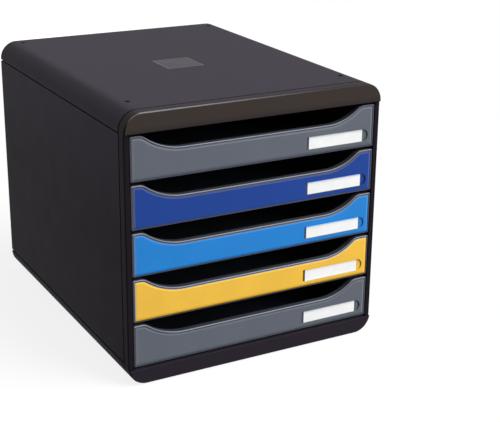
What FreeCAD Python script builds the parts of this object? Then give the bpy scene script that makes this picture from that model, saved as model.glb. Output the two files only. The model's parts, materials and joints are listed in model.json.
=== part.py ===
import FreeCAD, Part
import math
import os
import re

import Sketcher

# File box with five drawers, in millimetres
# +Z is up, the drawers open towards -Y, and the origin is in the middle of the underside

os.makedirs("parts", exist_ok=True)
doc = FreeCAD.newDocument("file_box")
sheet = doc.addObject("Spreadsheet::Sheet", "Sizes")

SIZES = [
    # casing
    ("casing_width", 278),
    ("casing_depth", 347),
    ("casing_height", 271),
    ("corner_radius", 18.8),
    ("skirt_straight", 0.2),
    ("shell_wall", 2.5),
    ("seam_width", 2),
    ("seam_depth", 1.6),
    ("fit_gap", 0.2),
    ("shell_edge_chamfer", 0.5),
    # feet under the base
    ("foot_stand", 1),
    ("foot_diameter", 14),
    ("foot_seat_depth", 1.2),
    ("foot_side_inset", 34),
    ("foot_front_inset", 32),
    ("foot_back_inset", 24),
    # stacking holes and name plate field in the cover
    ("stack_hole_diameter", 5),
    ("stack_hole_chamfer", 0.5),
    ("stack_hole_side_inset", 22),
    ("stack_hole_front_inset", 41.7),
    ("stack_hole_back_inset", 14),
    ("plate_width", 42),
    ("plate_depth", 0.5),
    ("plate_left_shift", 5),
    ("plate_front_shift", 7.5),
    # front bezel
    ("bezel_depth", 12),
    ("bezel_wall", 2.5),
    ("header_height", 19.6),
    ("apron_height", 16),
    ("stile_width", 5.5),
    ("stile_setback", 2),
    ("bezel_edge_chamfer", 1),
    ("opening_edge_radius", 0.6),
    ("lip_length", 6),
    ("lip_thickness", 1.7),
    # back panel
    ("back_thickness", 2.5),
    ("back_border", 12),
    ("back_field_depth", 1),
    # side panel tongues under the cover and over the base
    ("tongue_height", 3),
    ("tongue_root", 6),
    ("tongue_thickness", 1.8),
    # runner channels on the side panels
    ("ledge_reach", 6),
    ("ledge_thickness", 2),
    ("keeper_thickness", 2),
    ("runner_clearance", 0.3),
    ("channel_headroom", 1.4),
    ("stop_length", 3),
    ("drawer_travel", 250),
    # drawer tray
    ("drawer_count", 5),
    ("drawer_gap", 3.4),
    ("drawer_bottom_gap", 2.2),
    ("drawer_top_gap", 2.6),
    ("drawer_side_gap", 1),
    ("drawer_setback", 2),
    ("tray_side_gap", 1),
    ("tray_back_gap", 3),
    ("tray_wall", 2),
    ("tray_floor", 2),
    ("tray_keel_radius", 2.5),
    ("tray_stern_chamfer", 1.5),
    ("tray_inner_radius", 1.5),
    ("tray_front_thickness", 6.5),
    ("tray_skin", 1.5),
    ("rim_thickness", 2),
    ("tray_side_drop", 9.2),
    ("cheek_length", 16),
    ("cheek_drop", 3),
    ("flange_thickness", 2),
    ("flange_side_gap", 0.5),
    ("front_corner_radius", 1.5),
    ("rim_chamfer", 0.7),
    # finger scoop in the drawer's front, as deep as the room above the label allows
    ("scoop_lip_radius", 12),
    ("hump_left", 8),
    ("hump_right", 12),
    ("sweep_left", 46),
    ("sweep_right", 42),
    # coloured panel set into the drawer's front
    ("panel_border", 1.7),
    ("panel_thickness", 2),
    ("panel_gap", 0.1),
    ("panel_bevel_width", 2),
    ("panel_bevel_depth", 0.5),
    # label holder in the coloured panel
    ("label_length", 65.4),
    ("label_height", 12.6),
    ("label_rise", 6.2),
    ("label_headroom", 9.1),
    ("label_right_inset", 12.8),
    ("label_lip", 0.6),
    ("label_overlap", 1),
    ("notch_undercut", 1.2),
    ("card_slot_depth", 1.4),
    ("card_thickness", 0.4),
]
for row, (alias, value) in enumerate(SIZES, start=1):
    sheet.set(f"A{row}", alias)
    sheet.set(f"B{row}", str(value))
    sheet.setAlias(f"B{row}", alias)
doc.recompute()

# How far apart two equal places may be worked out
TOLERANCE = 0.0001

# Levels and widths that follow from the sizes
half_width = "(casing_width / 2)"
half_depth = "(casing_depth / 2)"
opening_bottom = "(foot_stand + apron_height)"
opening_top = "(casing_height - header_height)"
opening_half_width = f"({half_width} - stile_width)"
bezel_rear = "(bezel_depth + seam_width)"
shell_length = f"(casing_depth - {bezel_rear})"
skirt_height = "(corner_radius + skirt_straight)"
cover_edge = f"(casing_height - {skirt_height})"
base_edge = f"(foot_stand + {skirt_height})"
inner_front = f"({bezel_rear} + lip_length + fit_gap)"
inner_length = f"(casing_depth - {inner_front} - back_thickness)"
panel_inner_face = f"({half_width} - shell_wall)"

drawer_stack = f"({opening_top} - {opening_bottom} - drawer_bottom_gap - drawer_top_gap)"
front_height = f"(({drawer_stack} - (drawer_count - 1) * drawer_gap) / drawer_count)"
drawer_pitch = f"({front_height} + drawer_gap)"
lowest_drawer = f"({opening_bottom} + drawer_bottom_gap)"
front_half_width = f"({opening_half_width} - drawer_side_gap)"
scoop_depth = f"({front_height} - label_rise - label_height - label_headroom)"
tray_half_width = f"({panel_inner_face} - ledge_reach - tray_side_gap)"
tray_length = "(casing_depth - drawer_setback - back_thickness - tray_back_gap)"
tray_height = f"({front_height} - tray_side_drop)"
flange_half_width = f"({opening_half_width} - flange_side_gap)"
flange_bottom = f"({tray_height} - flange_thickness)"
ledge_top = f"({flange_bottom} - runner_clearance)"
keeper_bottom = f"({tray_height} + channel_headroom)"
stop_height = "(channel_headroom - runner_clearance)"


def bound(expression):
    """The same expression with every size name pointing at its cell in the sheet."""
    return re.sub(r"\b[a-z][a-z_]*\b", lambda name: f"Sizes.{name.group(0)}", str(expression))


def number(expression):
    """The value that an expression in size names has now."""
    return float(sheet.evalExpression(bound(expression)))


def new_body(label):
    body = doc.addObject("PartDesign::Body", label)
    body.Label = label
    return body


def sketch_on(body, name, role, offset="0"):
    """An empty sketch on one of the body's own origin planes, moved along the plane's normal."""
    plane = next(part for part in body.Origin.OriginFeatures if part.Role == role)
    sketch = body.newObject("Sketcher::SketchObject", name)
    sketch.AttachmentSupport = [(plane, "")]
    sketch.MapMode = "FlatFace"
    sketch.setExpression("AttachmentOffset.Base.z", bound(offset))
    return sketch


def arc_between(start, end, radius, turn):
    """The arc of under half a circle from start to end, bending left or right on its way."""
    chord = end - start
    middle = (start + end) / 2
    rise = math.sqrt(max(radius**2 - (chord.Length / 2) ** 2, 0))
    leftward = FreeCAD.Vector(-chord.y, chord.x, 0).normalize()
    centre = middle + leftward * (rise if turn == "left" else -rise)
    first, last = (start, end) if turn == "left" else (end, start)
    angles = [math.atan2(point.y - centre.y, point.x - centre.x) for point in (first, last)]
    circle = Part.Circle(centre, FreeCAD.Vector(0, 0, 1), radius)
    return Part.ArcOfCircle(circle, angles[0], angles[1])


def draw(sketch, outline):
    """Draws a closed outline of ("line", x, y) and ("arc", x, y, radius, turn) steps.

    Each step ends at x, y, and the outline closes on its last point. Every corner is
    dimensioned from the sketch's origin, apart from those that a level or upright line fixes.
    """
    corners = [FreeCAD.Vector(number(step[1]), number(step[2]), 0) for step in outline]
    pieces = []
    for index, step in enumerate(outline):
        start, end = corners[index - 1], corners[index]
        if step[0] == "line":
            piece = sketch.addGeometry(Part.LineSegment(start, end))
            pieces.append((piece, 1, 2))
        else:
            radius, turn = step[3], step[4]
            piece = sketch.addGeometry(arc_between(start, end, number(radius), turn))
            pieces.append((piece, 1, 2) if turn == "left" else (piece, 2, 1))
            label = sketch.addConstraint(Sketcher.Constraint("Radius", piece, number(radius)))
            sketch.setExpression(f"Constraints[{label}]", bound(radius))
    for index, step in enumerate(outline):
        piece, _, tail = pieces[index]
        following, head, _ = pieces[(index + 1) % len(pieces)]
        sketch.addConstraint(Sketcher.Constraint("Coincident", piece, tail, following, head))
        previous = outline[index - 1]
        straight = step[0] == "line" and index > 0
        for axis, part, align in ((1, "DistanceX", "Vertical"), (2, "DistanceY", "Horizontal")):
            if straight and step[axis] == previous[axis]:
                sketch.addConstraint(Sketcher.Constraint(align, piece))
                continue
            place = number(step[axis])
            size = sketch.addConstraint(Sketcher.Constraint(part, -1, 1, piece, tail, place))
            sketch.setExpression(f"Constraints[{size}]", bound(step[axis]))


def draw_circle(sketch, x, y, diameter):
    centre = FreeCAD.Vector(number(x), number(y), 0)
    circle = Part.Circle(centre, FreeCAD.Vector(0, 0, 1), number(diameter) / 2)
    piece = sketch.addGeometry(circle)
    across = sketch.addConstraint(Sketcher.Constraint("Diameter", piece, number(diameter)))
    sketch.setExpression(f"Constraints[{across}]", bound(diameter))
    for part, place in (("DistanceX", x), ("DistanceY", y)):
        size = sketch.addConstraint(Sketcher.Constraint(part, -1, 1, piece, 3, number(place)))
        sketch.setExpression(f"Constraints[{size}]", bound(place))


def rectangle(left, bottom, right, top):
    return [
        ("line", left, bottom),
        ("line", right, bottom),
        ("line", right, top),
        ("line", left, top),
    ]


def rounded_rectangle(left, bottom, right, top, radius):
    """A rectangle with four round corners, drawn anticlockwise."""
    return [
        ("line", f"{right} - {radius}", bottom),
        ("arc", right, f"{bottom} + {radius}", radius, "left"),
        ("line", right, f"{top} - {radius}"),
        ("arc", f"{right} - {radius}", top, radius, "left"),
        ("line", f"{left} + {radius}", top),
        ("arc", left, f"{top} - {radius}", radius, "left"),
        ("line", left, f"{bottom} + {radius}"),
        ("arc", f"{left} + {radius}", bottom, radius, "left"),
    ]


def casing_outline(inset):
    """The casing in front view, drawn smaller by the inset all round."""
    return rounded_rectangle(
        f"-({half_width} - {inset})",
        f"(foot_stand + {inset})",
        f"({half_width} - {inset})",
        f"(casing_height - {inset})",
        f"(corner_radius - {inset})",
    )


def pad(body, name, sketch, length, reverse=False):
    feature = body.newObject("PartDesign::Pad", name)
    feature.Profile = sketch
    feature.Reversed = reverse
    feature.setExpression("Length", bound(length))
    doc.recompute()
    return feature


def pocket(body, name, sketch, depth, reverse=False):
    """A pocket, which has to take something away."""
    before = body.Shape.Volume
    feature = body.newObject("PartDesign::Pocket", name)
    feature.Profile = sketch
    feature.Reversed = reverse
    feature.setExpression("Length", bound(depth))
    doc.recompute()
    if not body.Shape.Volume < before:
        raise RuntimeError(f"{name} cuts nothing")
    return feature


def edge_names(shape, wanted):
    """The names of the edges that the test picks."""
    return [f"Edge{index}" for index, edge in enumerate(shape.Edges, start=1) if wanted(edge)]


def level(edge, axis, expression):
    """True if the whole edge lies in the plane where the axis has this value."""
    box = edge.BoundBox
    reach = (getattr(box, f"{axis}Min"), getattr(box, f"{axis}Max"))
    return all(math.isclose(end, number(expression), abs_tol=TOLERANCE) for end in reach)


def within(edge, left, bottom, right, top):
    """True if the edge lies in this rectangle, seen from the front."""
    box = edge.BoundBox
    return (
        box.XMin > number(left) - TOLERANCE
        and box.XMax < number(right) + TOLERANCE
        and box.ZMin > number(bottom) - TOLERANCE
        and box.ZMax < number(top) + TOLERANCE
    )


def rounded(body, name, base, edges, radius):
    fillet = body.newObject("PartDesign::Fillet", name)
    fillet.Base = (base, edges)
    fillet.setExpression("Radius", bound(radius))
    doc.recompute()
    return fillet


def chamfered(body, name, base, edges, size):
    chamfer = body.newObject("PartDesign::Chamfer", name)
    chamfer.Base = (base, edges)
    chamfer.setExpression("Size", bound(size))
    doc.recompute()
    return chamfer


def place(body, x="0", y="0", z="0"):
    for axis, expression in (("x", x), ("y", y), ("z", z)):
        body.setExpression(f"Placement.Base.{axis}", bound(expression))


# The casing


def shell_outline(edge, tangent, outer, inner, turns):
    """A shallow channel: two skirts and a flat web, joined by rounded long edges."""
    outer_turn, inner_turn = turns
    outer_flat = f"{half_width} - corner_radius"
    inner_radius = "corner_radius - shell_wall"
    return [
        ("line", f"-{half_width}", edge),
        ("line", f"-{half_width}", tangent),
        ("arc", f"-({outer_flat})", outer, "corner_radius", outer_turn),
        ("line", outer_flat, outer),
        ("arc", half_width, tangent, "corner_radius", outer_turn),
        ("line", half_width, edge),
        ("line", panel_inner_face, edge),
        ("line", panel_inner_face, tangent),
        ("arc", outer_flat, inner, inner_radius, inner_turn),
        ("line", f"-({outer_flat})", inner),
        ("arc", f"-{panel_inner_face}", tangent, inner_radius, inner_turn),
        ("line", f"-{panel_inner_face}", edge),
    ]


def shell(label, edge, tangent, outer, inner, turns):
    """The cover or the base, drawn in front view and run from the bezel to the back."""
    body = new_body(label)
    profile = sketch_on(body, f"{label}_profile", "XZ_Plane", f"{half_depth} - {bezel_rear}")
    draw(profile, shell_outline(edge, tangent, outer, inner, turns))
    pad(body, f"{label}_run", profile, shell_length, reverse=True)
    return body


def stack_hole_places():
    for side in ("-", ""):
        x = f"{side}({half_width} - stack_hole_side_inset)"
        yield x, f"stack_hole_front_inset - {half_depth}"
        yield x, f"{half_depth} - stack_hole_back_inset"


def make_top_cover():
    label = "top_cover"
    tangent = "casing_height - corner_radius"
    inner = "casing_height - shell_wall"
    body = shell(label, cover_edge, tangent, "casing_height", inner, ("right", "left"))

    groove_edges = edge_names(
        body.Tip.Shape,
        lambda edge: level(edge, "Y", f"{bezel_rear} - {half_depth}")
        and edge.BoundBox.ZMax > number("casing_height - shell_wall / 2"),
    )
    chamfered(body, "cover_front_edge", body.Tip, groove_edges, "shell_edge_chamfer")

    holes = sketch_on(body, "stack_holes_sketch", "XY_Plane", "casing_height")
    for x, y in stack_hole_places():
        draw_circle(holes, x, y, "stack_hole_diameter")
    drilled = pocket(body, "stack_holes", holes, "2 * shell_wall")
    mouths = edge_names(
        drilled.Shape,
        lambda edge: level(edge, "Z", "casing_height") and isinstance(edge.Curve, Part.Circle),
    )
    chamfered(body, "stack_hole_chamfers", drilled, mouths, "stack_hole_chamfer")

    plate = sketch_on(body, "name_plate_sketch", "XY_Plane", "casing_height")
    left = "-(plate_left_shift + plate_width / 2)"
    right = "(plate_width / 2 - plate_left_shift)"
    front = "-(plate_front_shift + plate_width / 2)"
    back = "(plate_width / 2 - plate_front_shift)"
    draw(plate, rectangle(left, front, right, back))
    pocket(body, "name_plate_field", plate, "plate_depth")
    return body


def foot_places():
    for side, sign in (("left", "-"), ("right", "")):
        x = f"{sign}({half_width} - foot_side_inset)"
        yield f"foot_front_{side}", x, f"foot_front_inset - {half_depth}"
        yield f"foot_back_{side}", x, f"{half_depth} - foot_back_inset"


def make_base():
    tangent = "foot_stand + corner_radius"
    body = shell(
        "base", base_edge, tangent, "foot_stand", "foot_stand + shell_wall", ("left", "right")
    )
    seats = sketch_on(body, "foot_seats_sketch", "XY_Plane", "foot_stand")
    for _, x, y in foot_places():
        draw_circle(seats, x, y, "foot_diameter")
    pocket(body, "foot_seats", seats, "foot_seat_depth", reverse=True)
    return body


def make_foot(label, x, y):
    """A round pad that stands proud of the base and is stuck into its seat."""
    body = new_body(label)
    profile = sketch_on(body, f"{label}_profile", "XZ_Plane")
    radius = "(foot_diameter / 2 - fit_gap)"
    outline = [
        ("line", "0", "0"),
        ("line", radius, "0"),
        ("line", radius, "foot_stand + foot_seat_depth"),
        ("line", "0", "foot_stand + foot_seat_depth"),
    ]
    draw(profile, outline)
    turned = body.newObject("PartDesign::Revolution", f"{label}_turned")
    turned.Profile = profile
    turned.ReferenceAxis = (profile, ["V_Axis"])
    doc.recompute()
    place(body, x, y)
    return body


def make_front_bezel():
    """The frame round the drawers, with a groove behind it and a lip inside the casing."""
    body = new_body("front_bezel")
    front = half_depth
    opening = (f"-{opening_half_width}", opening_bottom, opening_half_width, opening_top)

    def ring(name, inset, offset, hole, length):
        sketch = sketch_on(body, f"{name}_sketch", "XZ_Plane", offset)
        draw(sketch, casing_outline(inset))
        draw(sketch, hole)
        return pad(body, name, sketch, length, reverse=True)

    face = ring("bezel_face", "0", front, rectangle(*opening), "bezel_depth")
    outline = edge_names(
        face.Shape, lambda edge: level(edge, "Y", f"-{front}") and not within(edge, *opening)
    )
    chamfered(body, "bezel_front_edge", face, outline, "bezel_edge_chamfer")

    stiles = sketch_on(body, "stile_setback_sketch", "XZ_Plane", front)
    inner, outer = opening_half_width, f"({half_width} + stile_width)"
    draw(stiles, rectangle(inner, opening_bottom, outer, opening_top))
    draw(stiles, rectangle(f"-{outer}", opening_bottom, f"-{inner}", opening_top))
    set_back = pocket(body, "stile_fronts", stiles, "stile_setback")
    stile_edges = edge_names(
        set_back.Shape,
        lambda edge: level(edge, "Y", f"stile_setback - {front}")
        and (level(edge, "X", half_width) or level(edge, "X", f"-{half_width}")),
    )
    chamfered(body, "stile_edges", set_back, stile_edges, "bezel_edge_chamfer")

    ring("groove_floor", "seam_depth", f"{front} - bezel_depth", rectangle(*opening), "seam_width")
    lip_inset = "(shell_wall + fit_gap)"
    lip_hole = casing_outline(f"({lip_inset} + lip_thickness)")
    ring("locating_lip", lip_inset, f"{front} - {bezel_rear}", lip_hole, "lip_length")

    sills = sketch_on(body, "sill_edges_sketch", "YZ_Plane", f"-{half_width}")
    radius = "opening_edge_radius"
    for sill, sign, turn in ((opening_top, "+", "right"), (opening_bottom, "-", "left")):
        draw(sills, [
            ("line", f"-{front}", sill),
            ("line", f"{radius} - {front}", sill),
            ("arc", f"-{front}", f"{sill} {sign} {radius}", radius, turn),
        ])
    pocket(body, "sill_edges", sills, "casing_width", reverse=True)

    hollows = sketch_on(body, "bezel_hollows_sketch", "XZ_Plane", f"{front} - {bezel_rear}")
    run = f"({half_width} - corner_radius)"
    lip_inside = f"({lip_inset} + lip_thickness)"
    draw(hollows, rectangle(
        f"-{run}", f"({opening_top} + bezel_wall)", run, f"(casing_height - {lip_inside})"
    ))
    draw(hollows, rectangle(
        f"-{run}", f"(foot_stand + {lip_inside})", run, f"({opening_bottom} - bezel_wall)"
    ))
    pocket(body, "bezel_hollows", hollows, f"{bezel_rear} - bezel_wall", reverse=True)
    return body


def make_back_panel():
    """The panel that closes the back, inside the shells, with a sunk field."""
    body = new_body("back_panel")
    outer = sketch_on(body, "back_outline", "XZ_Plane", f"-{half_depth}")
    draw(outer, casing_outline("(shell_wall + fit_gap)"))
    pad(body, "back_plate", outer, "back_thickness")
    field = sketch_on(body, "back_field_sketch", "XZ_Plane", f"-{half_depth}")
    draw(field, casing_outline("back_border"))
    pocket(body, "back_field", field, "back_field_depth", reverse=True)
    return body


def make_side_panel(label, sign):
    """A side wall with a rebate along each seam, tongues, and a runner channel per drawer."""
    body = new_body(label)
    outside = f"{sign}{half_width}"
    inside = f"{sign}{panel_inner_face}"
    rebate = f"{sign}({half_width} - seam_depth)"

    wall = sketch_on(body, f"{label}_wall_sketch", "XZ_Plane", f"{half_depth} - {bezel_rear}")
    draw(wall, [
        ("line", inside, base_edge),
        ("line", rebate, base_edge),
        ("line", rebate, f"{base_edge} + seam_width"),
        ("line", outside, f"{base_edge} + seam_width"),
        ("line", outside, f"{cover_edge} - seam_width"),
        ("line", rebate, f"{cover_edge} - seam_width"),
        ("line", rebate, cover_edge),
        ("line", inside, cover_edge),
    ])
    pad(body, f"{label}_wall", wall, shell_length, reverse=True)

    tongue_face = f"{sign}({panel_inner_face} - 2 * fit_gap)"
    tongue_back = f"{sign}({panel_inner_face} - 2 * fit_gap - tongue_thickness)"
    tongues = sketch_on(body, f"{label}_tongues_sketch", "XZ_Plane", f"{half_depth} - {inner_front}")
    for seam, up in ((cover_edge, "+"), (base_edge, "-")):
        down = "-" if up == "+" else "+"
        draw(tongues, [
            ("line", tongue_back, f"{seam} {down} tongue_root"),
            ("line", inside, f"{seam} {down} tongue_root"),
            ("line", inside, seam),
            ("line", tongue_face, seam),
            ("line", tongue_face, f"{seam} {up} tongue_height"),
            ("line", tongue_back, f"{seam} {up} tongue_height"),
        ])
    pad(body, f"{label}_tongues", tongues, inner_length, reverse=True)

    reach = f"{sign}({panel_inner_face} - ledge_reach)"
    ledge = f"({lowest_drawer} + {ledge_top})"
    keeper = f"({lowest_drawer} + {keeper_bottom})"
    rails = sketch_on(body, f"{label}_rails_sketch", "XZ_Plane", f"{half_depth} - {inner_front}")
    draw(rails, rectangle(reach, f"{ledge} - ledge_thickness", inside, ledge))
    draw(rails, rectangle(reach, keeper, inside, f"{keeper} + keeper_thickness"))
    rail_pads = pad(body, f"{label}_rails", rails, inner_length, reverse=True)

    front_stop = sketch_on(
        body, f"{label}_front_stop_sketch", "XZ_Plane", f"{half_depth} - {inner_front}"
    )
    draw(front_stop, rectangle(reach, f"{keeper} - {stop_height}", inside, keeper))
    stop_pad = pad(body, f"{label}_front_stop", front_stop, "stop_length", reverse=True)

    back_stop = sketch_on(
        body, f"{label}_back_stop_sketch", "XZ_Plane", f"back_thickness - {half_depth}"
    )
    draw(back_stop, rectangle(reach, ledge, inside, keeper))
    back_pad = pad(
        body, f"{label}_back_stop", back_stop, "tray_back_gap + tray_stern_chamfer - fit_gap"
    )

    pattern = body.newObject("PartDesign::LinearPattern", f"{label}_channels")
    pattern.Originals = [rail_pads, stop_pad, back_pad]
    upright = next(part for part in body.Origin.OriginFeatures if part.Role == "Z_Axis")
    pattern.Direction = (upright, [""])
    pattern.setExpression("Length", bound(f"{drawer_pitch} * (drawer_count - 1)"))
    pattern.setExpression("Occurrences", bound("drawer_count"))
    body.Tip = pattern
    doc.recompute()
    return body


# The drawers, each drawn about the middle of the foot of its own front


def scooped_outline(inset, reach=None):
    """The drawer's front, seen from outside: a shallow scoop between two humps.

    It is drawn smaller by the inset all round, or its sides stand at the given reach.
    Each side of the scoop is a convex arc that runs into a wide concave one, so the two
    meet on the line between their far ends, at the share that their radii give.
    """
    reach = reach or f"({front_half_width} - {inset})"
    left, right = f"-{reach}", reach
    foot, crest = inset, f"({front_height} - {inset})"
    valley = f"({front_height} - {scoop_depth} - {inset})"
    lip = f"(scoop_lip_radius - {inset})"

    def both_radii(sweep):
        return f"(({sweep} * {sweep} + {scoop_depth} * {scoop_depth}) / (2 * {scoop_depth}))"

    left_hump = f"(hump_left - {front_half_width})"
    right_hump = f"({front_half_width} - hump_right)"
    left_share = f"({lip} / {both_radii('sweep_left')})"
    right_share = f"({lip} / {both_radii('sweep_right')})"
    left_bowl = f"({both_radii('sweep_left')} - {lip})"
    right_bowl = f"({both_radii('sweep_right')} - {lip})"
    return [
        ("line", right, foot),
        ("line", right, crest),
        ("line", right_hump, crest),
        ("arc", f"{right_hump} - sweep_right * {right_share}",
         f"{crest} - {scoop_depth} * {right_share}", lip, "left"),
        ("arc", f"{right_hump} - sweep_right", valley, right_bowl, "right"),
        ("line", f"{left_hump} + sweep_left", valley),
        ("arc", f"{left_hump} + sweep_left * {left_share}",
         f"{crest} - {scoop_depth} * {left_share}", left_bowl, "right"),
        ("arc", left_hump, crest, lip, "left"),
        ("line", left, crest),
        ("line", left, foot),
    ]


def place_in_stack(body, number_from_top):
    x, y = "0", f"drawer_setback - {half_depth}"
    place(body, x, y, f"{lowest_drawer} + (drawer_count - {number_from_top}) * {drawer_pitch}")


def make_tray(label, number_from_top):
    body = new_body(label)
    side, back = tray_half_width, tray_length
    front = sketch_on(body, f"{label}_front_sketch", "XZ_Plane")
    draw(front, scooped_outline("0"))
    slab = pad(body, f"{label}_front", front, "tray_front_thickness", reverse=True)
    corners = edge_names(
        slab.Shape,
        lambda edge: edge.BoundBox.YLength > number("tray_front_thickness / 2")
        and (level(edge, "X", front_half_width) or level(edge, "X", f"-{front_half_width}")),
    )
    softened = rounded(body, f"{label}_front_corners", slab, corners, "front_corner_radius")
    rim = edge_names(softened.Shape, lambda edge: level(edge, "Y", "0"))
    chamfered(body, f"{label}_rim", softened, rim, "rim_chamfer")

    tub = sketch_on(body, f"{label}_tub_sketch", "XZ_Plane", "-tray_front_thickness")
    keel = "tray_keel_radius"
    draw(tub, [
        ("line", f"{side} - {keel}", "0"),
        ("arc", side, keel, keel, "left"),
        ("line", side, tray_height),
        ("line", f"-{side}", tray_height),
        ("line", f"-{side}", keel),
        ("arc", f"-({side} - {keel})", "0", keel, "left"),
    ])
    solid_tub = pad(
        body, f"{label}_tub", tub, f"{back} - tray_front_thickness", reverse=True
    )
    stern = edge_names(
        solid_tub.Shape, lambda edge: level(edge, "Y", back) and not level(edge, "Z", tray_height)
    )
    chamfered(body, f"{label}_stern", solid_tub, stern, "tray_stern_chamfer")

    flanges = sketch_on(body, f"{label}_flanges_sketch", "XY_Plane", flange_bottom)
    wall_middle = f"({side} - tray_wall / 2)"
    end = f"({back} - tray_stern_chamfer)"
    draw(flanges, rectangle(wall_middle, "tray_front_thickness", flange_half_width, end))
    draw(flanges, rectangle(f"-{flange_half_width}", "tray_front_thickness", f"-{wall_middle}", end))
    pad(body, f"{label}_flanges", flanges, "flange_thickness")

    # The catch meets the front stop when the drawer is pulled right out
    catches = sketch_on(body, f"{label}_catches_sketch", "XY_Plane", tray_height)
    stop_rear = f"({inner_front} + stop_length - drawer_setback)"
    catch_front = f"({stop_rear} + drawer_travel + fit_gap)"
    catch_back = f"({catch_front} + stop_length)"
    draw(catches, rectangle(side, catch_front, flange_half_width, catch_back))
    draw(catches, rectangle(f"-{flange_half_width}", catch_front, f"-{side}", catch_back))
    pad(body, f"{label}_catches", catches, stop_height)

    cheeks = sketch_on(body, f"{label}_cheeks_sketch", "YZ_Plane", f"-{side}")
    cheek_top = f"({front_height} - cheek_drop)"
    rise = "(tray_side_drop - cheek_drop)"
    sweep_radius = f"((cheek_length * cheek_length + {rise} * {rise}) / (2 * {rise}))"
    cheek_back = "(tray_front_thickness + cheek_length)"
    draw(cheeks, [
        ("line", "tray_front_thickness", flange_bottom),
        ("line", cheek_back, flange_bottom),
        ("line", cheek_back, tray_height),
        ("arc", "tray_front_thickness", cheek_top, sweep_radius, "right"),
    ])
    pad(body, f"{label}_cheeks", cheeks, f"2 * {side}")

    hollow = sketch_on(body, f"{label}_hollow_sketch", "XY_Plane", front_height)
    inner = f"({side} - tray_wall)"
    draw(hollow, rounded_rectangle(
        f"-{inner}", "tray_front_thickness", inner, f"({back} - tray_wall)", "tray_inner_radius",
    ))
    pocket(body, f"{label}_hollow", hollow, f"{front_height} - tray_floor")

    seat = sketch_on(body, f"{label}_panel_seat_sketch", "XZ_Plane")
    draw(seat, scooped_outline("panel_border"))
    pocket(body, f"{label}_panel_seat", seat, "panel_thickness")

    # Behind its skin the front is hollow, so that a rim overhangs the tray
    recess = sketch_on(body, f"{label}_rim_recess_sketch", "XZ_Plane", "-tray_front_thickness")
    draw(recess, scooped_outline("rim_thickness", inner))
    recess_depth = "tray_front_thickness - panel_thickness - tray_skin"
    pocket(body, f"{label}_rim_recess", recess, recess_depth, reverse=True)
    place_in_stack(body, number_from_top)
    return body


def make_front_panel(label, number_from_top):
    """The bevelled coloured face, with a window, a thumb notch and a slot behind their lip."""
    body = new_body(label)
    inset = "(panel_border + panel_gap)"
    foot_of_bevel = sketch_on(body, f"{label}_plate_sketch", "XZ_Plane", "-panel_bevel_depth")
    draw(foot_of_bevel, scooped_outline(inset))
    thickness = "panel_thickness - panel_bevel_depth"
    pad(body, f"{label}_plate", foot_of_bevel, thickness, reverse=True)
    face = sketch_on(body, f"{label}_face_sketch", "XZ_Plane")
    draw(face, scooped_outline(f"({inset} + panel_bevel_width)"))
    bevel = body.newObject("PartDesign::AdditiveLoft", f"{label}_bevel")
    bevel.Profile = foot_of_bevel
    bevel.Sections = [face]
    bevel.Ruled = True
    doc.recompute()

    right = f"({front_half_width} - label_right_inset)"
    left = f"({right} - label_length)"
    foot, top = "label_rise", "(label_rise + label_height)"
    notch = "(label_height / 2)"
    window = sketch_on(body, f"{label}_window_sketch", "XZ_Plane")
    draw(window, [
        ("line", left, foot),
        ("line", right, foot),
        ("arc", f"{right} + {notch}", f"{foot} + {notch}", notch, "left"),
        ("arc", right, top, notch, "left"),
        ("line", left, top),
    ])
    pocket(body, f"{label}_window", window, "card_slot_depth")

    slot = sketch_on(body, f"{label}_slot_sketch", "XZ_Plane", "-label_lip")
    draw(slot, rectangle(
        f"({left} - label_overlap)", f"({foot} - label_overlap)",
        f"({right} + {notch} + notch_undercut)", f"({top} + label_overlap)",
    ))
    pocket(body, f"{label}_slot", slot, "card_slot_depth - label_lip")
    place_in_stack(body, number_from_top)
    return body


def make_label_card(label, number_from_top):
    """The blank paper label, flat against the back of its slot."""
    body = new_body(label)
    right = f"({front_half_width} - label_right_inset)"
    left = f"({right} - label_length - label_overlap + fit_gap)"
    foot = "(label_rise - label_overlap + fit_gap)"
    top = "(label_rise + label_height + label_overlap - fit_gap)"
    card = sketch_on(body, f"{label}_sketch", "XZ_Plane", "-card_slot_depth")
    draw(card, rectangle(left, foot, right, top))
    pad(body, f"{label}_sheet", card, "card_thickness")
    place_in_stack(body, number_from_top)
    return body


def check(bodies):
    """Stops if anything in the document failed or a piece isn't one sound solid."""
    for item in doc.Objects:
        if {"Invalid", "Error"} & set(item.State):
            raise RuntimeError(f"{item.Label} failed: {item.State}")
    for body in bodies:
        shape = body.Shape
        if shape.isNull() or not shape.isValid() or len(shape.Solids) != 1:
            raise RuntimeError(f"{body.Label} isn't one sound solid")


bodies = [
    make_top_cover(),
    make_base(),
    make_front_bezel(),
    make_back_panel(),
    make_side_panel("side_panel_left", "-"),
    make_side_panel("side_panel_right", ""),
]
bodies += [make_foot(name, x, y) for name, x, y in foot_places()]
for drawer in range(1, int(number("drawer_count")) + 1):
    bodies.append(make_tray(f"tray_{drawer}", drawer))
    bodies.append(make_front_panel(f"front_panel_{drawer}", drawer))
    bodies.append(make_label_card(f"label_card_{drawer}", drawer))

doc.recompute()
check(bodies)
for body in bodies:
    body.Shape.exportStep(f"parts/{body.Label}.step")
    print(f"{body.Label}: {body.Shape.Volume:.0f} mm3")
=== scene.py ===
import json
import math

import bmesh
import bpy
from mathutils import Matrix, Vector


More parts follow.
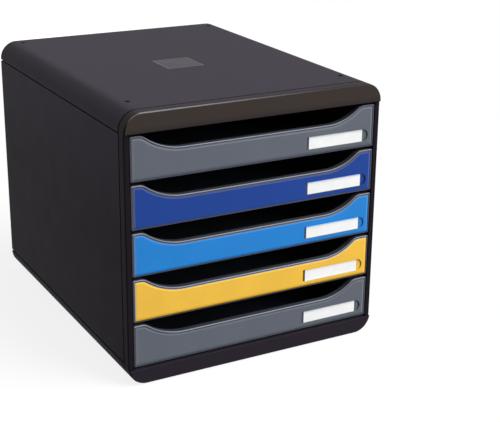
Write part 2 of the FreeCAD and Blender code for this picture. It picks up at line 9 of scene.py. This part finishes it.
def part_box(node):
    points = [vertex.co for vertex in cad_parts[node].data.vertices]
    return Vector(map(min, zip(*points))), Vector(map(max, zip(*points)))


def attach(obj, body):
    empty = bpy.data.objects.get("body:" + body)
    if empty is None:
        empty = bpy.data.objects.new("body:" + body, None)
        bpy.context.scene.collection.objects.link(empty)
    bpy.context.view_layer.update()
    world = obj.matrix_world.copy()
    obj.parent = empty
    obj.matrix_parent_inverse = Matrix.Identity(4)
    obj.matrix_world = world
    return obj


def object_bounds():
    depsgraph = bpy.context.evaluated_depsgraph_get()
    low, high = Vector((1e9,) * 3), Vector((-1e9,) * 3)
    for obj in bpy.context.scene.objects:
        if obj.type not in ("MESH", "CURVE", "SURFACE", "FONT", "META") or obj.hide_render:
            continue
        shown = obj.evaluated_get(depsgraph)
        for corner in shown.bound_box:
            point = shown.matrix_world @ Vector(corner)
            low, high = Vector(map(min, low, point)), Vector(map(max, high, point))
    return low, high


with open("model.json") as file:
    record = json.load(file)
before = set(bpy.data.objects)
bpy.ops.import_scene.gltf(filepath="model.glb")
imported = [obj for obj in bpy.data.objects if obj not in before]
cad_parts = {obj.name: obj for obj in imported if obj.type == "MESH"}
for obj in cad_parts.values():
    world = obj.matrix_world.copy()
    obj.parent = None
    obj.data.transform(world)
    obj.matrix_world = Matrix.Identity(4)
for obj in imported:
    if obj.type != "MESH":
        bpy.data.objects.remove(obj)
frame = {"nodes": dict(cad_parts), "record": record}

# File box with five drawers. Lengths are in metres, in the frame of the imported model:
# +Z is up, the drawers open towards -Y and the origin is in the middle of the underside.

cad_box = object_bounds()

MILLIMETRE = 0.001


def millimetres(*lengths):
    return tuple(length * MILLIMETRE for length in lengths)


# The drawers from the top down, by the finish of their front panels
PANEL_FINISHES = {1: "grey", 2: "navy", 3: "blue", 4: "yellow", 5: "grey"}

# Plastic and paper colours, as linear red, green and blue
PANEL_COLOURS = {
    "grey": (0.106, 0.120, 0.151),
    "navy": (0.004, 0.044, 0.270),
    "blue": (0.014, 0.222, 0.640),
    "yellow": (0.890, 0.530, 0.062),
}
CASING_COLOUR = (0.0196, 0.0151, 0.0222)
# Dust colour that also serves as painted light: dust with a painted sheen on up-facing faces,
# painted light from above near the shell's top, and only dust on the feet
CASING_DUST_AND_PAINTED_LIGHT_COLOUR = (0.152, 0.137, 0.174)
# Painted warm reflection on the bezel's header
HEADER_PAINTED_REFLECTION_COLOUR = (0.162, 0.126, 0.060)
# Edge wear with painted highlight on the shell's edges, and a painted highlight on the bezel's
# upper front edge
CASING_WEAR_AND_HIGHLIGHT_COLOUR = (0.082, 0.078, 0.084)
# Painted shade in seams and grooves, under edges, behind the bezel's front edge and on its stiles
CASING_PAINTED_SHADE_COLOUR = (0.003, 0.003, 0.004)
TRAY_COLOUR = (0.036, 0.043, 0.058)
# Painted highlight on the trays' edges and front rims
TRAY_RIM_HIGHLIGHT_COLOUR = (0.290, 0.290, 0.375)
CARD_COLOUR = (0.925, 0.930, 0.930)
# Painted shadow of the slot on the card's left end
CARD_SLOT_SHADOW_COLOUR = (0.050, 0.055, 0.070)
RUBBER_COLOUR = (0.018, 0.018, 0.019)
PLATE_COLOUR = (0.070, 0.064, 0.077)


class Field:
    """One output in a material's node tree, so that sums of shader values read as sums."""

    def __init__(self, tree, socket=None):
        self.tree = tree
        self.socket = socket

    def node(self, kind, settings=None, sockets=None, output=0):
        """Adds a node: first its settings, then the values or links of its sockets."""
        made = self.tree.nodes.new(f"ShaderNode{kind}")
        for name, value in (settings or {}).items():
            setattr(made, name, value)
        for name, value in (sockets or {}).items():
            if isinstance(value, Field):
                self.tree.links.new(value.socket, made.inputs[name])
            else:
                made.inputs[name].default_value = value
        return Field(self.tree, made.outputs[output] if made.outputs else None)

    def maths(self, operation, *values):
        return self.node("Math", {"operation": operation}, dict(enumerate(values)))

    def size(self):
        """The value without its sign."""
        return self.maths("ABSOLUTE", self)

    def larger(self, other):
        return self.maths("MAXIMUM", self, other)

    def __add__(self, other):
        return self.maths("ADD", self, other)

    def __radd__(self, other):
        return self.maths("ADD", other, self)

    def __sub__(self, other):
        return self.maths("SUBTRACT", self, other)

    def __rsub__(self, other):
        return self.maths("SUBTRACT", other, self)

    def __mul__(self, other):
        return self.maths("MULTIPLY", self, other)

    def held(self):
        """The value held between 0 and 1."""
        return self.node("Clamp", None, {"Value": self})

    def noise(self, size, detail, spread):
        """Noise from 0 to 1 whose lumps have this size, where this field is a place."""
        sockets = {"Vector": self, "Scale": 1 / size, "Detail": detail, "Roughness": spread}
        return self.node("TexNoise", None, sockets)

    def between(self, low, high):
        """0 where this value is low, 1 where it is high, smooth on the way."""
        sockets = {"Value": self, "From Min": low, "From Max": high}
        return self.node("MapRange", {"interpolation_type": "SMOOTHSTEP"}, sockets)

    def band(self, start, end):
        """1 between the two ranges, 0 before and after them, smooth across each."""
        return self.between(*start) * (1 - self.between(*end))

    def parts(self):
        """The x, y and z of a place or a direction."""
        return [self.node("SeparateXYZ", None, {0: self}, axis) for axis in "XYZ"]

    def blend(self, first, second):
        """The first colour where this value is 0, the second where it is 1."""
        sockets = {0: self, 6: opaque(first), 7: opaque(second)}
        return self.node("Mix", {"data_type": "RGBA"}, sockets, 2)


def opaque(colour):
    return colour if isinstance(colour, Field) else (*colour, 1.0)


def toned(colour, factor, lift=0.0):
    """The colour made darker or lighter by the factor, then greyer by the lift."""
    return tuple(part * factor + lift for part in colour)


def new_finish(name):
    """An empty material and a field in its node tree."""
    material = bpy.data.materials.new(name)
    material.use_nodes = True
    material.node_tree.nodes.clear()
    return material, Field(material.node_tree)


def place_on(finish):
    return finish.node("TexCoord", output="Object")


def facing_of(finish):
    """The x, y and z of the way that the surface faces."""
    return finish.node("NewGeometry", output="Normal").parts()


# Rays that each edge or hollow mask sends out
MASK_SAMPLES = 8


def edge_mask(finish, radius, sharpness):
    """1 along edges, 0 on the flats: how far the rounded normal leaves the true one."""
    rounded = finish.node("Bevel", {"samples": MASK_SAMPLES}, {"Radius": radius})
    true = finish.node("NewGeometry", output="True Normal")
    match = finish.node("VectorMath", {"operation": "DOT_PRODUCT"}, {0: rounded, 1: true}, "Value")
    return ((1 - match) * sharpness).held()


def hollow_mask(finish, reach):
    """1 deep in seams and corners, 0 in the open."""
    light = finish.node("AmbientOcclusion", {"samples": MASK_SAMPLES}, {"Distance": reach}, "AO")
    return 1 - light.between(0.35, 0.95)


def relief(finish, height, depth):
    return finish.node("Bump", None, {"Height": height, "Distance": depth})


def finished(material, finish, sockets):
    shader = finish.node("BsdfPrincipled", None, sockets)
    finish.node("OutputMaterial", None, {"Surface": shader})
    return material


def black_moulding(name, accents, painted_light_colour):
    """Black plastic with a fine spark grain, dust with a painted sheen on top, and painted shade
    in seams.

    The accents say from place and direction where it gets edge wear and painted highlight, painted
    shade or painted light.
    """
    material, finish = new_finish(name)
    place = place_on(finish)
    grain = place.noise(0.45 * MILLIMETRE, detail=2, spread=0.6)
    speckle = place.noise(1.6 * MILLIMETRE, detail=3, spread=0.6)
    clouds = place.noise(28 * MILLIMETRE, detail=5, spread=0.62)
    edges = edge_mask(finish, 1.4 * MILLIMETRE, sharpness=20.0)
    # Painted shade deep in seams and hollows
    seams = hollow_mask(finish, 3 * MILLIMETRE)
    facing = facing_of(finish)
    wear_and_highlight, shaded, painted_light = accents(place.parts(), facing, edges * (1 - seams))
    _, _, up = facing
    patches = 0.55 + clouds.between(0.25, 0.8) * 0.25 + speckle * 0.2
    # Up-facing faces get dust together with a painted sheen of light from above
    dust = up.between(0.90, 0.98) * patches
    painted_light = painted_light * (1 - up.between(0.35, 0.9) * 0.6)
    dusty = (dust * 0.13 + clouds * 0.012).held().blend(CASING_COLOUR, CASING_DUST_AND_PAINTED_LIGHT_COLOUR)
    # The body takes painted light near the shell's top and a painted reflection on the header,
    # then edge wear and painted highlight
    body = wear_and_highlight.blend((painted_light * 0.24).blend(dusty, painted_light_colour), CASING_WEAR_AND_HIGHLIGHT_COLOUR)
    # Painted shade in the hollows and where the accents call for it
    colour = (seams * 0.35 + shaded).held().blend(body, CASING_PAINTED_SHADE_COLOUR)
    height = grain * 0.75 + speckle * 0.25
    return finished(material, finish, {
        "Base Color": colour,
        "Roughness": 0.56 + clouds * 0.12 + dust * 0.08 - wear_and_highlight * 0.2,
        "Specular IOR Level": 0.05,
        "Coat Weight": wear_and_highlight * 0.38,
        "Coat Roughness": 0.16,
        "Normal": relief(finish, height, 0.05 * MILLIMETRE),
    })


# How far below its top the shell's painted light from above fades out
SHELL_PAINTED_LIGHT_FADE = millimetres(20, 130)


def shell_accents(place, facing, edges):
    """The shell's edges get a little wear with painted highlight, its groove and downward faces
    painted shade, and its upper part painted light from above.
    """
    _, _, height = place
    _, back, up = facing
    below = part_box("top_cover")[1].z - height
    shaded = (up * -1).between(0.2, 0.6) + (back * -1).between(0.3, 0.5) * 0.8
    return edges * 0.12, shaded.held(), 1 - below.between(*SHELL_PAINTED_LIGHT_FADE)


# How far below its top the header's painted reflection and the front edge's painted highlight end
BEZEL_HEADER_REFLECTION_FADE = millimetres(12, 24)
BEZEL_HIGHLIGHT_FADE = millimetres(6, 12)

# How far behind its front its rim ends, its painted shadow line lies and its stiles take painted
# shade
BEZEL_RIM_FADE = millimetres(1.2, 1.6)
BEZEL_SHADE_LINE_START = millimetres(0.8, 1.0)
BEZEL_SHADE_LINE_END = millimetres(2.0, 2.4)
BEZEL_STILE_SHADE_START = millimetres(1.4, 1.9)


def bezel_accents(place, facing, _edges):
    """The bezel's upper front edge gets a painted highlight, strongest at the left.

    A painted shadow line runs round just behind that edge, the edge's less upward parts and the
    stiles beside the drawers get painted shade, and the header above them gets a painted
    reflection.
    """
    across, depth, height = place
    _, back, up = facing
    low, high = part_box("front_bezel")
    below = high.z - height
    behind = depth - low.y
    forward = back * -1
    rim = forward.band((0.3, 0.5), (0.85, 0.97)) * (1 - behind.between(*BEZEL_RIM_FADE))
    upper = up.between(0.35, 0.6) * (1 - below.between(*BEZEL_HIGHLIGHT_FADE))
    # The painted highlight fades from the left towards the right
    left = 1 - across.between(low.x * 0.9, high.x * 0.7) * 0.95
    # A painted shadow line behind the front edge, and painted shade on the stiles
    line = (1 - forward.between(0.1, 0.3)) * behind.band(BEZEL_SHADE_LINE_START, BEZEL_SHADE_LINE_END)
    stiles = forward.between(0.3, 0.5) * behind.between(*BEZEL_STILE_SHADE_START)
    shaded = rim * (1 - up.between(0.2, 0.45)) + line * 0.9 + stiles * 0.6
    # The header gets a painted warm reflection
    header = 1 - below.between(*BEZEL_HEADER_REFLECTION_FADE)
    return rim * upper * left, shaded.held(), header * 0.64


# How far behind a tray's front the painted highlight on its rim ends
TRAY_RIM_HIGHLIGHT_FADE = millimetres(1, 2)


def tray_plastic(name):
    """Slate moulding, smoother than the casing, with flow marks and a painted highlight on its
    edges and front rim.
    """
    material, finish = new_finish(name)
    place = place_on(finish)
    ripple = place.noise(7 * MILLIMETRE, detail=2, spread=0.5)
    fine = place.noise(0.8 * MILLIMETRE, detail=2, spread=0.5)
    clouds = place.noise(45 * MILLIMETRE, detail=4, spread=0.55)
    edges = edge_mask(finish, 0.5 * MILLIMETRE, sharpness=3.0)
    body = clouds.between(0.3, 0.7).blend(toned(TRAY_COLOUR, 0.86), TRAY_COLOUR)
    _, depth, _ = place.parts()
    _, back, _ = facing_of(finish)
    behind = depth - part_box("tray_1")[0].y
    rim = (back * -1).band((0.4, 0.6), (0.8, 0.92)) * (1 - behind.between(*TRAY_RIM_HIGHLIGHT_FADE))
    height = ripple * 0.8 + fine * 0.2
    return finished(material, finish, {
        # Painted highlight along the edges and the front rim
        "Base Color": (edges * 0.25 + rim * 0.45).held().blend(body, TRAY_RIM_HIGHLIGHT_COLOUR),
        "Roughness": 0.36 + clouds * 0.10 + fine * 0.05 - edges * 0.08,
        "Specular IOR Level": 0.32,
        "Coat Weight": edges * 0.7,
        "Coat Roughness": 0.16,
        "Normal": relief(finish, height, 0.03 * MILLIMETRE),
    })


def panel_gloss(name, base):
    """A coloured glossy moulding with a slight orange peel, faint handling marks and paler painted
    highlights on its edges and bevel faces.
    """
    material, finish = new_finish(name)
    place = place_on(finish)
    peel = place.noise(5 * MILLIMETRE, detail=2, spread=0.5)
    fine = place.noise(0.7 * MILLIMETRE, detail=2, spread=0.5)
    clouds = place.noise(40 * MILLIMETRE, detail=4, spread=0.6)
    streaked = finish.node("Mapping", None, {"Vector": place, "Scale": (1.0, 1.0, 7.0)})
    marks = streaked.noise(9 * MILLIMETRE, detail=4, spread=0.65).between(0.52, 0.78)
    edges = edge_mask(finish, 0.5 * MILLIMETRE, sharpness=3.0)
    body = clouds.between(0.3, 0.7).blend(toned(base, 0.93), base)
    across, back, _ = facing_of(finish)
    bevel_highlight = (back + 1).between(0.01, 0.025)
    flank_highlight = across.size().between(0.1, 0.2)
    # Handling marks, with painted highlight on the edges, the bevel faces and the sides
    worn = (edges * 0.18 + marks * 0.02 + bevel_highlight * 0.08 + flank_highlight * 0.35).held()
    height = peel * 0.85 + fine * 0.15
    return finished(material, finish, {
        "Base Color": worn.blend(body, toned(base, 0.8, 0.14)),
        "Roughness": 0.34 + clouds * 0.08 + marks * 0.10 - edges * 0.06,
        "Specular IOR Level": 0.26,
        "Coat Weight": edges * 0.4,
        "Coat Roughness": 0.2,
        "Normal": relief(finish, height, 0.035 * MILLIMETRE),
    })


# How far from a card's left end the painted shadow of the slot ends
CARD_SLOT_SHADOW_FADE = millimetres(3.7, 4.2)


def label_card_paper(name):
    """Bare white card with paper fibre, and a painted shadow where its left end sits in the slot.
    """
    material, finish = new_finish(name)
    place = place_on(finish)
    stretched = finish.node("Mapping", None, {"Vector": place, "Scale": (0.45, 1.0, 1.0)})
    fibre = stretched.noise(0.5 * MILLIMETRE, detail=4, spread=0.7)
    clouds = place.noise(14 * MILLIMETRE, detail=3, spread=0.6)
    worn = (clouds.between(0.35, 0.7) * 0.6 + fibre * 0.3).held()
    paper = worn.blend(CARD_COLOUR, toned(CARD_COLOUR, 0.93))
    across, _, _ = place.parts()
    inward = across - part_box("label_card_1")[0].x
    slot_shadow = 1 - inward.between(*CARD_SLOT_SHADOW_FADE)
    return finished(material, finish, {
        "Base Color": slot_shadow.blend(paper, CARD_SLOT_SHADOW_COLOUR),
        "Roughness": 0.72 + fibre * 0.15,
        "Specular IOR Level": 0.3,
        "Normal": relief(finish, fibre, 0.03 * MILLIMETRE),
    })


def foot_rubber(name):
    """Soft black rubber, dulled by dust where it meets the desk."""
    material, finish = new_finish(name)
    place = place_on(finish)
    grain = place.noise(0.6 * MILLIMETRE, detail=3, spread=0.6)
    clouds = place.noise(5 * MILLIMETRE, detail=3, spread=0.6)
    dusty = (clouds.between(0.4, 0.7) * 0.2).blend(RUBBER_COLOUR, CASING_DUST_AND_PAINTED_LIGHT_COLOUR)
    return finished(material, finish, {
        "Base Color": dusty,
        "Roughness": 0.78 + grain * 0.12,
        "Specular IOR Level": 0.3,
        "Normal": relief(finish, grain, 0.04 * MILLIMETRE),
    })


# The name plate, which lies in the cover's sunk field, and its shift from the middle
PLATE_SIDE = 41.6 * MILLIMETRE
PLATE_THICKNESS = 0.4 * MILLIMETRE
PLATE_FIELD_DEPTH = 0.5 * MILLIMETRE
PLATE_SHIFT = Vector((-5, -7.5)) * MILLIMETRE
PLATE_CORNER = 1.2 * MILLIMETRE
PLATE_CORNER_STEPS = 8
PLATE_RIM = 1.6 * MILLIMETRE
PLATE_RIM_BLUR = 0.2 * MILLIMETRE
PLATE_DISH = 0.12 * MILLIMETRE


def plate_satin(name):
    """The bare name plate: satin foil with a light brushed grain along its width."""
    material, finish = new_finish(name)
    place = place_on(finish)
    drawn = finish.node("Mapping", None, {"Vector": place, "Scale": (0.04, 1.0, 1.0)})
    brushed = drawn.noise(0.5 * MILLIMETRE, detail=3, spread=0.6)
    clouds = place.noise(12 * MILLIMETRE, detail=4, spread=0.6)
    across, depth, _ = place.parts()
    reach = (across - PLATE_SHIFT.x).size().larger((depth - PLATE_SHIFT.y).size())
    inside = PLATE_SIDE / 2 - PLATE_RIM
    rim = reach.between(inside - PLATE_RIM_BLUR, inside + PLATE_RIM_BLUR)
    streaks = (clouds * 0.6 + brushed * 0.4).between(0.3, 0.7)
    body = streaks.blend(toned(PLATE_COLOUR, 0.75), PLATE_COLOUR)
    return finished(material, finish, {
        "Base Color": (rim * 0.8).blend(body, toned(PLATE_COLOUR, 2.0)),
        "Roughness": 0.48 + brushed * 0.14,
        "Specular IOR Level": 0.12,
        "Normal": relief(finish, brushed, 0.01 * MILLIMETRE),
    })


def dress(node, material):
    """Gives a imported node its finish."""
    slots = frame["nodes"][node].data.materials
    slots.clear()
    slots.append(material)


def dress_casing():
    black = black_moulding("casing_black_grained", shell_accents, CASING_DUST_AND_PAINTED_LIGHT_COLOUR)
    handled = black_moulding("bezel_black_grained", bezel_accents, HEADER_PAINTED_REFLECTION_COLOUR)
    rubber = foot_rubber("foot_black_rubber")
    for node in frame["record"]["behaviour"]["bodies"]["casing"]:
        dress(node, rubber if node.startswith("foot_") else black)
    dress("front_bezel", handled)


def dress_drawers():
    slate = tray_plastic("tray_slate")
    card = label_card_paper("label_white_card")
    panels = {name: panel_gloss(f"panel_{name}", base) for name, base in PANEL_COLOURS.items()}
    for number, name in PANEL_FINISHES.items():
        dress(f"tray_{number}", slate)
        dress(f"front_panel_{number}", panels[name])
        dress(f"label_card_{number}", card)


def rounded_square(side, radius):
    """The points of a square with round corners, anticlockwise about the origin."""
    reach = side / 2 - radius
    points = []
    for corner, (x, y) in enumerate(((1, 1), (-1, 1), (-1, -1), (1, -1))):
        for step in range(PLATE_CORNER_STEPS + 1):
            turn = math.pi / 2 * (corner + step / PLATE_CORNER_STEPS)
            arm = Vector((math.cos(turn), math.sin(turn))) * radius
            points.append(Vector((x, y)) * reach + arm)
    return points


def make_name_plate():
    """A thin plate with a rim and a shallow dish, lying in the field."""
    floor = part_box("top_cover")[1].z - PLATE_FIELD_DEPTH
    top = floor + PLATE_THICKNESS
    rings = [
        (0.0, floor),
        (0.0, top - PLATE_DISH),
        (PLATE_DISH, top),
        (PLATE_RIM, top),
        (PLATE_RIM + PLATE_DISH, top - PLATE_DISH),
    ]
    mesh = bmesh.new()
    loops = []
    for inset, height in rings:
        outline = rounded_square(PLATE_SIDE - 2 * inset, PLATE_CORNER - inset / 2)
        loops.append([mesh.verts.new((*(point + PLATE_SHIFT), height)) for point in outline])
    for lower, upper in zip(loops, loops[1:]):
        for index in range(len(lower)):
            mesh.faces.new((lower[index - 1], lower[index], upper[index], upper[index - 1]))
    mesh.faces.new(loops[-1])
    mesh.faces.new(reversed(loops[0]))
    data = bpy.data.meshes.new("name_plate")
    mesh.to_mesh(data)
    mesh.free()
    plate = bpy.data.objects.new("name_plate", data)
    bpy.context.scene.collection.objects.link(plate)
    data.materials.append(plate_satin("plate_satin_grey"))
    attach(plate, "casing")


# The studio: a white floor and surround, a key lamp and two fills. The key's spread is in
# degrees, and the fills' powers are in watts.
FLOOR_SIDE = 12.0
FLOOR_COLOUR = (0.15, 0.15, 0.15)
FLOOR_GLOW = 0.845
AMBIENT = 0.34
KEY_TOWARDS = Vector((0.42, -0.45, 0.79))
KEY_LEVEL = 0.95
KEY_SPREAD = 40
FILL_PLACE = Vector((0.95, -1.60, 0.75))
FILL_POWER = 15.0
FILL_SIDE = 1.1
BACK_PLACE = Vector((0.25, 1.70, 0.13))
BACK_POWER = 8.0
BACK_SIDE = 0.24


def seen_directly(field):
    """1 for rays of the camera, of reflections and through glass, 0 for light."""
    kinds = ("Camera", "Glossy", "Transmission")
    camera, glossy, through = (field.node("LightPath", output=f"Is {kind} Ray") for kind in kinds)
    return (camera + glossy + through).held()


def make_floor():
    mesh = bmesh.new()
    bmesh.ops.create_grid(mesh, x_segments=1, y_segments=1, size=FLOOR_SIDE / 2)
    data = bpy.data.meshes.new("studio_floor")
    mesh.to_mesh(data)
    mesh.free()
    floor = bpy.data.objects.new("studio_floor", data)
    bpy.context.scene.collection.objects.link(floor)
    material, finish = new_finish("studio_floor_white")
    matt = finish.node("BsdfDiffuse", None, {"Color": opaque(FLOOR_COLOUR)})
    glow = finish.node("Emission", None, {"Strength": seen_directly(finish) * FLOOR_GLOW})
    both = finish.node("AddShader", None, {0: matt, 1: glow})
    finish.node("OutputMaterial", None, {"Surface": both})
    data.materials.append(material)


def make_world():
    world = bpy.data.worlds.new("studio_white")
    world.use_nodes = True
    world.node_tree.nodes.clear()
    air = Field(world.node_tree)
    white = seen_directly(air)
    light = air.node("Background", None, {"Strength": AMBIENT + white * (1 - AMBIENT)})
    air.node("OutputWorld", None, {"Surface": light})
    bpy.context.scene.world = world


def hang(name, light, place, towards):
    """A lamp at its place, turned so that the given way leads back to it."""
    lamp = bpy.data.objects.new(name, light)
    lamp.location = place
    lamp.rotation_mode = "QUATERNION"
    lamp.rotation_quaternion = towards.to_track_quat("Z", "Y")
    bpy.context.scene.collection.objects.link(lamp)


def make_lamps():
    """A far soft key from above, a wide fill from the right in front and a low one behind."""
    key = bpy.data.lights.new("key_light", "SUN")
    key.energy = KEY_LEVEL * math.pi
    key.angle = math.radians(KEY_SPREAD)
    hang("key_lamp", key, KEY_TOWARDS, KEY_TOWARDS)
    middle = (cad_box[0] + cad_box[1]) / 2
    fills = (
        ("fill", FILL_PLACE, FILL_POWER, FILL_SIDE),
        ("back", BACK_PLACE, BACK_POWER, BACK_SIDE),
    )
    for name, place, power, side in fills:
        light = bpy.data.lights.new(f"{name}_light", "AREA")
        light.energy = power
        light.size = side
        hang(f"{name}_lamp", light, place, place - middle)


# The camera, fitted to the photograph's edges. Its angles are in radians, its sensor and
# lens in millimetres.
CAMERA_PLACE = Vector((-0.5360, -1.1066, 0.5455))
CAMERA_YAW = 0.5138
CAMERA_PITCH = 0.3457
CAMERA_ROLL = 0.0139
CAMERA_SENSOR = 36.0
CAMERA_LENS = 85.0


def make_camera():
    forward = Vector((
        math.sin(CAMERA_YAW) * math.cos(CAMERA_PITCH),
        math.cos(CAMERA_YAW) * math.cos(CAMERA_PITCH),
        -math.sin(CAMERA_PITCH),
    ))
    level = Vector((math.cos(CAMERA_YAW), -math.sin(CAMERA_YAW), 0.0))
    upright = level.cross(forward)
    right = math.cos(CAMERA_ROLL) * level + math.sin(CAMERA_ROLL) * upright
    up = math.cos(CAMERA_ROLL) * upright - math.sin(CAMERA_ROLL) * level
    data = bpy.data.cameras.new("photo_camera")
    data.sensor_width = CAMERA_SENSOR
    data.lens = CAMERA_LENS
    camera = bpy.data.objects.new("photo_camera", data)
    turn = Matrix((right, up, -forward)).transposed()
    camera.matrix_world = Matrix.Translation(CAMERA_PLACE) @ turn.to_4x4()
    bpy.context.scene.collection.objects.link(camera)
    bpy.context.scene.camera = camera


dress_casing()
dress_drawers()
make_name_plate()
make_floor()
make_world()
make_lamps()
make_camera()
bpy.context.scene.view_settings.view_transform = "Standard"
